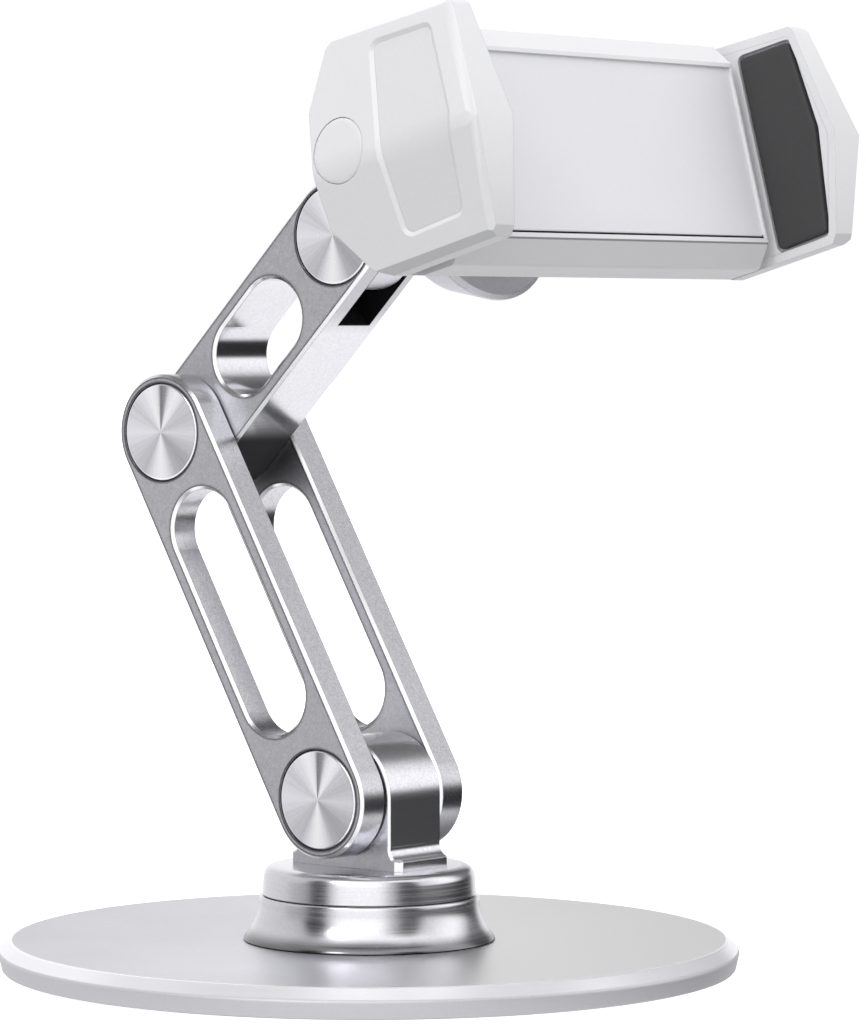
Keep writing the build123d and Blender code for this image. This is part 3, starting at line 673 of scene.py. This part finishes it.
# ------------------------------------------------------------------ materials
ARM = blasted("arm_aluminium", base=0.72, rough=0.42, grain=0.10, chamfer_rough=0.2,
              wall_base=0.61, wall_rough=0.26, wall_grain=1.1, painted_hairline=0.85,
              elbow_shade=True)
FORK = blasted("upper_arm_aluminium", base=0.72, rough=0.42, grain=0.10, chamfer_rough=0.2,
               wall_base=0.74, wall_rough=0.17, wall_grain=0.6, painted_hairline=0.85,
               fork_shade=True)
BLOCK = blasted("block_aluminium", base=0.74, rough=0.30, grain=0.09, chamfer_rough=0.18,
                wall_base=0.80, wall_rough=0.24, wall_grain=0.9)
KNUCKLE = blasted("knuckle_aluminium", base=0.78, rough=0.50, grain=0.06)
BOSS = turned_metal("boss_aluminium", base=0.79, rough=0.22)
FLARE = turned_metal("flare_aluminium", base=0.76, rough=0.22, foot_shade=True)
# the disc's top carries painted light to the camera's right and painted shade to the left
DISC_TOP = blasted("disc_top", base=0.97, rough=0.38, grain=0.03, bevel=0.0, painted_light_slope=0.24)
DISC_EDGE = turned_metal("disc_edge", base=0.89, rough=0.22, grain=0.01, metallic=0.42)
DISC_SIDE = turned_metal("disc_side", base=0.64, rough=0.48, grain=0.02, metallic=0.45)
SPUN = spun_metal("spun_cap_face")
RIM = turned_metal("cap_rim", base=0.85, rough=0.22, grain=0.02)
WHITE = plastic("white_plastic", base=0.80, rough=0.36)
WHITE_RECESS = plastic("white_plastic_recess", base=0.765, rough=0.44, grain=0.014)
HOUSING = plastic("housing_plastic", base=0.80, rough=0.36, shade=housing_shade)
PANEL = plastic("panel_plastic", base=0.81, rough=0.36, tint=0.03, shade=underside_shade)
GRIP = plastic("grip_rubber", base=0.052, rough=0.72, tint=0.03, grain=0.10, relief=0.35,
               scale=1900.0)
SOLE = plastic("sole_rubber", base=0.03, rough=0.85, tint=0.0, grain=0.15, relief=0.5,
               scale=1200.0)
WASHER = plastic("washer_nylon", base=0.03, rough=0.5, tint=0.0, grain=0.08, relief=0.2)
ACETAL = plastic("rack_acetal", base=0.62, rough=0.35, tint=-0.03, grain=0.015)
STEEL = simple_metal("zinc_steel", colour=(0.55, 0.55, 0.57), rough=0.32,
                     stretch=(400.0, 2600.0, 2600.0))
BRASS = simple_metal("brass_bush", colour=(0.72, 0.56, 0.30), rough=0.28,
                     stretch=(3000.0, 300.0, 300.0))
SPRING = simple_metal("spring_steel", colour=(0.38, 0.38, 0.40), rough=0.30)

# CAD nodes by material; the rest are zinc steel
CAD_LOOKS = (
    (ARM, ("lower_arm_left_plate", "lower_arm_right_plate")),
    (FORK, ("upper_arm",)),
    (BLOCK, ("hinge_block",)),
    (KNUCKLE, ("tilt_knuckle",)),
    (SOLE, ("anti_slip_pad",)),
    (WASHER, ("friction_washer", "base_pivot_washers", "elbow_washers", "head_washers",
              "rotation_washer")),
    (BRASS, ("base_pivot_bush", "elbow_bush", "head_bush")),
    (SPRING, ("return_spring", "wave_washer", "rotation_wave_washer")),
    (WHITE, ("rear_cover", "left_jaw_inner_plate", "right_jaw_inner_plate")),
    (HOUSING, ("front_housing",)),
    (ACETAL, ("left_slide_arm", "right_slide_arm", "pinion")),
)
look_of = {name: material for material, names in CAD_LOOKS for name in names}
for node_name, cad_node in frame["nodes"].items():
    cad_node.data.materials.clear()
    cad_node.data.materials.append(look_of.get(node_name, STEEL))
    for polygon in cad_node.data.polygons:
        polygon.material_index = 0


# ------------------------------------------------------------------ round base
def upright(x, y, z):
    return Vector((x, y, z))


# (radius, height, material: 0 top, 1 edge, 2 side)
DISC_PROFILE = [
    (12.0, 1.4, 0), (70.1, 1.4, 0), (70.1, 0.4, 0), (DISC_R - 0.3, 0.4, 2), (DISC_R, 0.7, 2),
    (DISC_R, 3.7, 1), (DISC_R - 2.0, 5.7, 0), (12.0, 5.7, 0)]
disc = rounded_profile(DISC_PROFILE, corners=(5, 6), radius=0.35, steps=5)
add_piece("base_disc", lathe(disc, upright, 320), [DISC_TOP, DISC_EDGE, DISC_SIDE], "base",
          "base_plate", sharp=50)

# the flare's wall narrows from foot to neck along a power curve
FOOT_R, NECK_R = 25.62, 22.5
FOOT_Z, WALL_RISE = 6.5, 8.05
WALL_STEPS = 12
flare = [(16.0, 5.72, 0), (25.4, 5.72, 0), (25.74, 6.05, 0), (FOOT_R, FOOT_Z, 0)]
for i in range(1, WALL_STEPS + 1):
    t = i / WALL_STEPS
    flare.append((NECK_R + (FOOT_R - NECK_R) * (1 - t) ** 2.2, FOOT_Z + WALL_RISE * t, 0))
flare += [(22.3, 14.92, 0), (22.1, 15.0, 0), (5.2, 15.0, 0), (5.2, 9.0, 0), (16.0, 9.0, 0)]
add_piece("swivel_flare", lathe(flare, upright, 200), [FLARE], "base", "swivel_base",
          sharp=40)

# (radius, height, material)
COLLAR_PROFILE = [
    (5.8, 15.32, 0), (5.8, 16.0, 0), (17.7, 16.0, 0), (17.7, 15.16, 0), (21.75, 15.16, 0),
    (21.92, 15.34, 0), (21.66, 18.8, 0), (21.5, 19.6, 0), (21.2, 20.2, 0), (20.75, 20.7, 0),
    (20.1, 21.02, 0), (19.3, 21.17, 0), (18.6, 21.2, 0), (7.9, 21.2, 0), (7.9, 18.42, 0),
    (5.2, 18.42, 0)]
add_piece("swivel_collar", lathe(COLLAR_PROFILE, upright, 200), [BOSS], "turret",
          "swivel_cap", sharp=46)

# ------------------------------------------------------------------ spun caps
CAP_R = 10.05


def spun_cap(name, node, body, joint, x_in, x_out):
    """Thin round cap on a joint's axis, its spun face at x_out."""
    sign = 1 if x_out > x_in else -1
    depth = abs(x_out - x_in)
    # (radius, height, material: 0 face, 1 rim)
    profile = [(0.0, 0.0, 1), (CAP_R, 0.0, 1), (CAP_R, depth - 0.42, 1),
               (CAP_R - 0.08, depth - 0.2, 1), (CAP_R - 0.34, depth - 0.02, 0),
               (CAP_R - 0.5, depth, 0), (0.35, depth, 0), (0.0, depth - 0.12, 0)]

    def place(y, z, height):
        return Vector((x_in + sign * height, joint.y + y, joint.z + z))

    add_piece(name, lathe(profile, place, 144), [SPUN, RIM], body, node, sharp=60)


# piece, CAD node, body, joint, then (x inside, x outside) of the left and right caps
CAPS = (
    ("pivot", "base_pivot", "lower_arm", PIVOT, (-13.5, -16.0), (13.5, 16.0)),
    ("elbow", "elbow", "lower_arm", ELBOW, (-13.5, -16.0), (13.5, 16.0)),
    ("head", "head", "upper_arm", HEAD, (-6.7, -8.42), (7.3, 8.42)),
)
for piece, cad, body, joint, left_x, right_x in CAPS:
    spun_cap(piece + "_disc_left", cad + "_cap_left", body, joint, *left_x)
    spun_cap(piece + "_disc_right", cad + "_cap_right", body, joint, *right_x)

# ------------------------------------------------------------------ clamp jaws
# The left jaw is drawn in holder coordinates (x, front, up); the right one mirrors it. Its
# outer face is two planes that meet in a soft crease along the front direction.
OUTER_X = -61.3
INNER_X = -51.0
CREASE_UP = -1.5
FACE_SLOPE = 0.195
CREASE_SOFT = 3.2       # half width of the soft crease followed by the inset parts
JAW_WALL = 1.84
JAW_CENTRE = Vector((-54, 62, 0))
JAW_BOX = {"low": (-70, 30, -40), "high": (-40, 100, 40)}


def outer_x(up):
    return OUTER_X + FACE_SLOPE * abs(up - CREASE_UP)


def soft_x(up):
    d = abs(up - CREASE_UP)
    if d < CREASE_SOFT:
        return OUTER_X + FACE_SLOPE * (d * d / (2 * CREASE_SOFT) + CREASE_SOFT / 2)
    return OUTER_X + FACE_SLOPE * d


# front end of the jaw, at the crease, the top and the bottom: on the outer face, along the
# front edge and at the inner side
OUTER_POINTS = ((OUTER_X, 81.9, CREASE_UP), (outer_x(21.6), 77.8, 21.6),
                (outer_x(-21.2), 78.4, -21.2))
EDGE_POINTS = ((-60.4, 83.8, CREASE_UP), (-56.0, 80.0, 21.0), (-56.5, 79.9, -20.4))
INNER_POINTS = ((INNER_X, 84.6, -1.3), (INNER_X, 80.0, 20.3), (INNER_X, 79.8, -20.6))

# planes parallel to X, each through two (front, up) points
FRONT_AND_SIDES = (
    ((80.5, 20.6), (78.8, 22.4)), ((80.1, -20.6), (78.2, -22.9)),
    ((50.6, 24.0), (77.6, 22.6)), ((50.6, -23.3), (78.0, -22.9)))
REAR_END = (
    ((43.0, 10.0), (43.0, -12.0)), ((43.1, 11.0), (48.3, 22.0)), ((48.3, 22.0), (51.6, 24.0)),
    ((43.1, -12.2), (50.0, -22.2)), ((49.4, -21.4), (52.4, -23.4)))
# slanted planes between the outer face and the top and bottom, each through three points
SHOULDERS = (
    ((outer_x(22.9), 50.6, 22.9), (outer_x(21.6), 77.6, 21.6), (-55.0, 50.6, 24.0)),
    ((outer_x(-21.9), 50.2, -21.9), (outer_x(-21.7), 78.0, -21.7), (-55.0, 60.0, -23.1)))

# (front, up) outlines of the inlay in the outer face and of the grip pad
INLAY = [(59.1, 20.2), (74.8, 19.4), (77.9, 1.0), (74.4, -17.7), (59.1, -18.3)]
PAD = [(64.9, 20.3), (78.5, 20.1), (80.8, 0.8), (78.2, -20.8), (64.9, -21.3)]
COVER_FRONT, COVER_UP = 49.7, 1.6
COVER_R = 6.2
COVER_GAP = 0.09

# (offset, depth from the outer face) of the inlay's recess, whose wall flares out
RECESS_ROWS = [(2.6, -1.6), (1.62, -0.25), (1.42, -0.02), (1.2, 0.14), (0.3, 0.72),
               (0.14, 0.86), (0.12, 1.3)]
INLAY_ROWS = [(0.0, 1.28), (0.06, 0.9), (0.34, 0.68), (0.52, 0.575), (0.25, 0.548),
              (-0.2, 0.54)]
COVER_SEAT_ROWS = [(0.18, -1.2), (0.0, 0.02), (0.0, 1.9)]
COVER_ROWS = [(0.0, 1.9), (0.0, 0.2), (-0.06, 0.08), (-0.2, 0.0)]
# (offset, x)
PAD_SEAT_ROWS = [(0.14, -52.2), (0.14, -49.0)]
PAD_ROWS = [(0.0, -52.15), (0.0, -51.0), (-0.06, -50.78), (-0.22, -50.6), (-0.45, -50.52),
            (-0.75, -50.5)]


def plane_through(a, b, c, inset=0.0):
    """(point, normal away from the jaw's centre) of a plane moved inwards by inset."""
    a, b, c = Vector(a), Vector(b), Vector(c)
    normal = (b - a).cross(c - a).normalized()
    if normal.dot(JAW_CENTRE - a) > 0:
        normal = -normal
    return (a - normal * inset, normal)


def facet(a, b, c, d, inset):
    """Two planes over a quad, split along the diagonal that keeps the solid convex."""
    normal = plane_through(a, b, c)[1]
    if normal.dot(Vector(d) - Vector(a)) <= 0:
        return [plane_through(a, b, c, inset), plane_through(a, c, d, inset)]
    return [plane_through(a, b, d, inset), plane_through(b, c, d, inset)]


def planes_along_x(pairs, inset):
    return [plane_through((-54.0, *p), (-50.0, *p), (-54.0, *q), inset) for p, q in pairs]


def side_planes(inset=0.0):
    """All the jaw's planes but those of its outer and inner faces."""
    planes = []
    for first, second in ((OUTER_POINTS, EDGE_POINTS), (EDGE_POINTS, INNER_POINTS)):
        for end in (1, 2):
            if first is OUTER_POINTS:
                quad = (first[0], first[end], second[end], second[0])
            else:
                quad = (first[0], first[end], second[end], second[0])
            planes += facet(*quad, inset)
    planes += planes_along_x(FRONT_AND_SIDES, inset)
    planes += [plane_through(*points, inset) for points in SHOULDERS]
    return planes + planes_along_x(REAR_END, inset)


def on_face(front, up, depth):
    return Vector((soft_x(up) + depth, front, up))


def on_cover(front, up, depth):
    return on_face(front + COVER_FRONT, up + COVER_UP, depth)


def across(front, up, x):
    return Vector((x, front, up))


def dense_outline(points, radius, step):
    return densify(counter_clockwise(round_poly(points, radius, 8)), step)


def jaw_shell():
    """Left jaw shell in holder coordinates."""
    outer = [plane_through((OUTER_X, 50, CREASE_UP), (OUTER_X, 80, CREASE_UP),
                           (outer_x(up), 60, up)) for up in (21, -22)]
    inner = (Vector((INNER_X, 60, 0)), Vector((1, 0, 0)))
    bm = cut_planes(outer + side_planes() + [inner], (JAW_BOX["low"], JAW_BOX["high"]))
    # soft crease across the outer face, then small rounds on every edge
    crease = [e for e in bm.edges if all(abs(v.co.x - OUTER_X) < 0.02
                                         and abs(v.co.z - CREASE_UP) < 0.02 for v in e.verts)]
    bmesh.ops.bevel(bm, geom=crease, offset=3.0, offset_type="WIDTH", segments=8,
                    profile=0.5, affect="EDGES", clamp_overlap=True)
    edges = [e for e in bm.edges
             if len(e.link_faces) == 2 and e.calc_face_angle(0.0) > math.radians(9)]
    bmesh.ops.bevel(bm, geom=edges, offset=0.42, offset_type="OFFSET", segments=4,
                    profile=0.5, affect="EDGES", clamp_overlap=True)
    ob = to_object("jaw", bm)
    carve(ob, slab(dense_outline(INLAY, 2.4, 0.8), RECESS_ROWS, on_face, grid=1.6))
    carve(ob, slab(ring(96, COVER_R + COVER_GAP), COVER_SEAT_ROWS, on_cover, grid=2.0))
    # pocket for the inner plate
    floor_plane = (Vector((-53.02, 60, 0)), Vector((-1, 0, 0)))
    carve(ob, cut_planes(side_planes(JAW_WALL) + [floor_plane],
                         (JAW_BOX["low"], (-48.0, 100, 40))))
    carve(ob, slab(round_poly(PAD, 1.7, 6), PAD_SEAT_ROWS, across, grid=6))
    bm = bmesh.new()
    bm.from_mesh(ob.data)
    remove_object(ob)
    return bm


def add_jaw_part(side, part, bm, material, node, sharp):
    """Places a left-jaw solid on the named side and adds it."""
    mirror = -1 if side == "right" else 1
    for vert in bm.verts:
        x, front, up = vert.co
        vert.co = holder_point(mirror * x, front, up)
    add_piece(side + part, bm, [material], side + "_jaw", side + node, sharp)


shell = jaw_shell()
for side in ("left", "right"):
    add_jaw_part(side, "_jaw_body", shell.copy(), WHITE, "_jaw_shell", 24)
    inlay = slab(dense_outline(INLAY, 2.3, 0.9), INLAY_ROWS, on_face, grid=1.1)
    add_jaw_part(side, "_jaw_panel", inlay, WHITE_RECESS, "_jaw_inlay", 50)
    cover = slab(ring(96, COVER_R), COVER_ROWS, on_cover, grid=0.9)
    add_jaw_part(side, "_jaw_cover", cover, WHITE, "_jaw_screw_cap", 50)
    pad = slab(dense_outline(PAD, 1.6, 1.0), PAD_ROWS, across, grid=1.5)
    add_jaw_part(side, "_grip_pad", pad, GRIP, "_jaw_pad", 50)
shell.free()

# ------------------------------------------------------------------ front panel
PANEL_HALF_WIDTH = 47.62
PANEL_BOTTOM, PANEL_TOP = -17.0, 17.98
# (offset, front)
PANEL_ROWS = [(0.0, 63.32), (0.0, 64.2), (-0.06, 64.38), (-0.2, 64.48), (-0.4, 64.5)]
panel = round_poly([(-PANEL_HALF_WIDTH, PANEL_BOTTOM), (PANEL_HALF_WIDTH, PANEL_BOTTOM),
                    (PANEL_HALF_WIDTH, PANEL_TOP), (-PANEL_HALF_WIDTH, PANEL_TOP)],
                   radius=0.5, steps=4)
panel_bm = slab(panel, PANEL_ROWS, lambda x, up, front: holder_point(x, front, up), grid=8.0)
add_piece("holder_front_panel", panel_bm, [PANEL], "clamp_body", "front_panel",
          sharp=50)


# ------------------------------------------------------------------ camera
def add_camera(position, direction, roll, lens):
    data = bpy.data.cameras.new("camera")
    camera = bpy.data.objects.new("camera", data)
    bpy.context.scene.collection.objects.link(camera)
    direction = Vector(direction).normalized()
    level = direction.cross(Vector((0, 0, 1))).normalized()
    upward = level.cross(direction)
    right = level * math.cos(roll) + upward * math.sin(roll)
    top = -level * math.sin(roll) + upward * math.cos(roll)
    turn = Matrix((right, top, -direction)).transposed()
    camera.matrix_world = Matrix.Translation(Vector(position)) @ turn.to_4x4()
    data.sensor_width = 36.0
    data.lens = lens
    data.clip_start, data.clip_end = 0.01, 50.0
    bpy.context.scene.camera = camera


add_camera(position=(-0.707556, -0.616263, 0.131993),
           direction=(0.762403, 0.645759, -0.041677), roll=math.radians(0.076), lens=161.19)


# ------------------------------------------------------------------ floor
def floor_material():
    """Pale paper to the camera, a softer even glow to every other ray."""
    bounce, lift = 0.50, 0.62
    g = Material("floor_pale")
    wide = g.noise(scale=0.8, detail=2.0, rough=0.5)
    g.put({"Base Color": g.mix(wide, (0.88, 0.885, 0.895, 1), (0.90, 0.90, 0.905, 1)),
           "Roughness": g.remap(wide, NOISE_SPAN, (0.75, 0.85)),
           "Emission Color": (1.0, 1.0, 1.0, 1.0),
           "Emission Strength": lift})
    glow = g.new("ShaderNodeEmission", {"Color": (1.0, 1.0, 1.0, 1.0), "Strength": bounce})
    seen = g.new("ShaderNodeLightPath").outputs["Is Camera Ray"]
    both = g.new("ShaderNodeMixShader", {0: seen, 1: glow.outputs[0], 2: g.shader.outputs[0]})
    g.feed(g.output.inputs[0], both.outputs[0])
    return g.material


floor_bm = bmesh.new()
bmesh.ops.create_circle(floor_bm, cap_ends=True, cap_tris=False, segments=96, radius=9.0)
floor = to_object("floor", floor_bm)
floor.location = (0, 0, -0.0001)
floor.data.materials.append(floor_material())
floor.visible_glossy = False

# ------------------------------------------------------------------ world
# Brightness round the object by band of height. Columns: degrees from the camera's bearing,
# positive to the camera's right; brightness.
HORIZON = [
    (-180, 1.12), (-140, 0.82), (-104, 0.74), (-86, 0.52), (-70, 0.42), (-62, 0.06),
    (-48, 0.05), (-40, 0.8), (-30, 1.15), (12, 1.15), (24, 0.6), (36, 0.08), (120, 0.02),
    (140, 0.10), (155, 0.95), (179, 1.12)]
MIDDLE = [
    (-180, 1.0), (-140, 0.80), (-100, 0.72), (-76, 0.62), (-66, 0.04), (-48, 0.03),
    (-40, 0.9), (-30, 1.4), (12, 1.4), (24, 0.7), (38, 0.10), (52, 0.10), (62, 0.85),
    (98, 1.3), (107, 1.2), (116, 0.8), (125, 0.2), (160, 0.14), (179, 0.5)]
UPPER = [
    (-180, 0.2), (-120, 0.35), (-70, 0.6), (-20, 1.3), (40, 1.3), (105, 1.0), (125, 0.2),
    (160, 0.10), (179, 0.12)]
# the soft box on the right hangs lower than the others by this many degrees
RIGHT_BOX = [(50, 0.0), (60, 1.0), (130, 1.0), (145, 0.0)]
RIGHT_BOX_DROP = 5.0


def build_world():
    """A room of soft boxes and dark cards, drawn from direction only."""
    world = bpy.data.worlds.new("studio")
    bpy.context.scene.world = world
    world.use_nodes = True
    g = Graph(world.node_tree)

    def by_angle(value, whole, stops):
        """Eased ramp whose stops are in degrees; whole is the value's full range."""
        return g.ramp(value, [(0.5 + angle / whole, level) for angle, level in stops], "EASE")

    x, y, z = g.xyz(g.coords["Generated"])
    camera_x, camera_y = TO_CAMERA
    toward = g.plus(g.times(x, camera_x), g.times(y, camera_y))
    aside = g.plus(g.times(x, -camera_y), g.times(y, camera_x))
    bearing = g.plus(g.math("DIVIDE", g.math("ARCTAN2", aside, toward), 2 * math.pi), 0.5)
    height = g.plus(g.math("DIVIDE", g.math("ARCSINE", z), math.pi), 0.5)
    drop = g.times(by_angle(bearing, 360.0, RIGHT_BOX), RIGHT_BOX_DROP / 180.0)
    height = g.plus(height, drop)
    # each band fades in between two heights in degrees, over the ones below it
    bands = (
        (-28, -19, by_angle(bearing, 360.0, HORIZON)),
        (7, 14, by_angle(bearing, 360.0, MIDDLE)),
        (38, 48, by_angle(bearing, 360.0, UPPER)),
        (54, 62, 0.18),
        (76, 83, 1.15),
    )
    sky = 1.14
    for start, end, level in bands:
        sky = g.blend(by_angle(height, 180.0, [(start, 0.0), (end, 1.0)]), sky, level)
    # diffuse rays see a plain gradient and the camera sees flat white
    ray = g.new("ShaderNodeLightPath").outputs
    value = g.blend(ray["Is Diffuse Ray"], sky, g.plus(g.times(z, 0.20), 0.76))
    value = g.blend(ray["Is Camera Ray"], value, 1.02)
    colour = g.rgb((value, g.times(value, 1.0), g.times(value, 1.012)))
    background = g.new("ShaderNodeBackground", {"Color": colour})
    g.new("ShaderNodeOutputWorld", {0: background.outputs[0]})


build_world()


# ------------------------------------------------------------------ lights
def sun(name, direction, strength, angle, glossy=False):
    """Sun that shines from direction; angle is its apparent size in degrees."""
    data = bpy.data.lights.new(name, "SUN")
    data.energy = strength
    data.angle = math.radians(angle)
    ob = bpy.data.objects.new(name, data)
    bpy.context.scene.collection.objects.link(ob)
    ob.rotation_mode = "QUATERNION"
    ob.rotation_quaternion = (-Vector(direction)).to_track_quat("-Z", "Y")
    ob.visible_glossy = glossy


sun("key_left", direction=(-0.60, -0.30, 0.74), strength=0.80, angle=50)
sun("edge_left", direction=(-0.785, -0.072, 0.6185), strength=0.32, angle=14, glossy=True)
sun("fill_top", direction=(0.15, -0.25, 0.95), strength=0.60, angle=70)

view = bpy.context.scene.view_settings
view.view_transform = "Standard"
view.look = "None"
view.exposure = 0.0
view.gamma = 1.0
